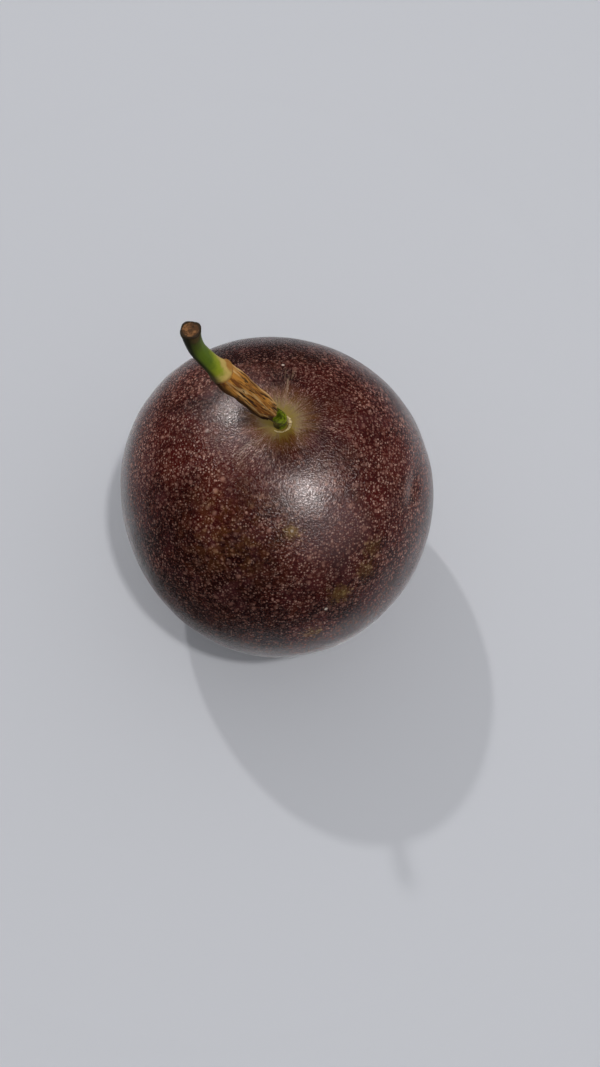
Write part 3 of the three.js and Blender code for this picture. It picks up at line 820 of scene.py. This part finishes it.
# The dark mouth: black mould and painted shade in the gap over the knob.
at_mouth = times(dry, fade(dry, along_sleeve, *MOUTH_SHADE), fade(dry, off_underside, *MOUTH_SHADE_AROUND))
dry.links.new(tint(dry, at_mouth, colour, SLEEVE_DARK), dry_shader.inputs["Base Color"])
roughen(dry, dry_shader, plus(dry, strands, cracks), SLEEVE_STRENGTH, SLEEVE_DEPTH)

sleeve = link_piece("withered_flower_sleeve", sleeve_shape, sleeve_finish)
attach(sleeve, "root")
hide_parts("dry_sleeve")

# The flower scar: the cream, corky crescent that the fallen flower left on the skin, part of the way round
# the stalk's foot. It is a low rounded ridge that thins out at both ends.
SCAR_WIDTH = 0.56
SCAR_FROM, SCAR_TO = math.radians(-125), math.radians(65)
SCAR_STEPS, SCAR_SIDES = 72, 14
SCAR_OFF_KNOB = 0.45
SCAR_THINNEST = 0.22
# Plump stretches of the crescent: how plump, the share of the way along it, and the reach.
SCAR_SWELLINGS = [(0.95, 0.66, 0.24), (0.25, 0.15, 0.12)]
SCAR_UNEVEN, SCAR_LUMPS = 0.6, 2.6
SCAR_RISE, SCAR_LIFT = 1.1, 0.06

scar_middle = KNOB_RADIUS + SCAR_OFF_KNOB
first_section = (Matrix.Rotation(SCAR_FROM, 4, "Z") @ Matrix.Translation((scar_middle, 0, 0))
                 @ Matrix.Rotation(math.pi / 2, 4, "X"))
scar_shape = bmesh.new()
bmesh.ops.create_circle(scar_shape, cap_ends=True, segments=SCAR_SIDES, radius=SCAR_WIDTH / 2,
                        matrix=first_section)
section = scar_shape.verts[:] + scar_shape.edges[:] + scar_shape.faces[:]
bmesh.ops.spin(scar_shape, geom=section, cent=(0, 0, 0), axis=(0, 0, 1), angle=SCAR_TO - SCAR_FROM,
               steps=SCAR_STEPS)
bmesh.ops.recalc_face_normals(scar_shape, faces=scar_shape.faces[:])
for vertex in scar_shape.verts:
    around = math.atan2(vertex.co.y, vertex.co.x)
    share = (around - SCAR_FROM) / (SCAR_TO - SCAR_FROM)
    centre = Vector((math.cos(around), math.sin(around), 0)) * scar_middle
    plump = SCAR_THINNEST + sum(most * bell(share - at, reach) for most, at, reach in SCAR_SWELLINGS)
    rough = 1 + SCAR_UNEVEN * noise.noise(vertex.co * SCAR_LUMPS)
    vertex.co = centre + (vertex.co - centre) * plump * rough
    polar = vertex.co.xy.length / EQUATOR_RADIUS
    skin_height = skin_radius(polar, around) * math.cos(polar)
    vertex.co.z = vertex.co.z * SCAR_RISE + skin_height + SCAR_LIFT
    vertex.co = (fruit_turn @ vertex.co + fruit_middle) * MM

SCAR_CREAM = (0.55, 0.42, 0.19, 1)
SCAR_BROWN = (0.20, 0.115, 0.030, 1)
SCAR_ROUGHNESS = 0.85
CORK_CLOUDS = (0.30, 3.0, 0.7)
CREAM_LUMPS = (0.52, 0.34)
CORK_STRENGTH, CORK_DEPTH = 0.6, 0.08

scar_finish, cork, cork_shader = new_finish("dry_scar", SCAR_ROUGHNESS)
cork_place = add_node(cork, "ShaderNodeMapping", {
    "Vector": add_node(cork, "ShaderNodeTexCoord").outputs["Object"], "Scale": (MM, MM, MM)},
    vector_type="TEXTURE").outputs["Vector"]
cork_lumps = clouds(cork, cork_place, *CORK_CLOUDS)
colour = tint(cork, fade(cork, cork_lumps, *CREAM_LUMPS), SCAR_BROWN, SCAR_CREAM)
cork.links.new(colour, cork_shader.inputs["Base Color"])
roughen(cork, cork_shader, cork_lumps, CORK_STRENGTH, CORK_DEPTH)

scar = link_piece("dry_flower_scar", scar_shape, scar_finish)
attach(scar, "root")
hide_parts("flower_scar")
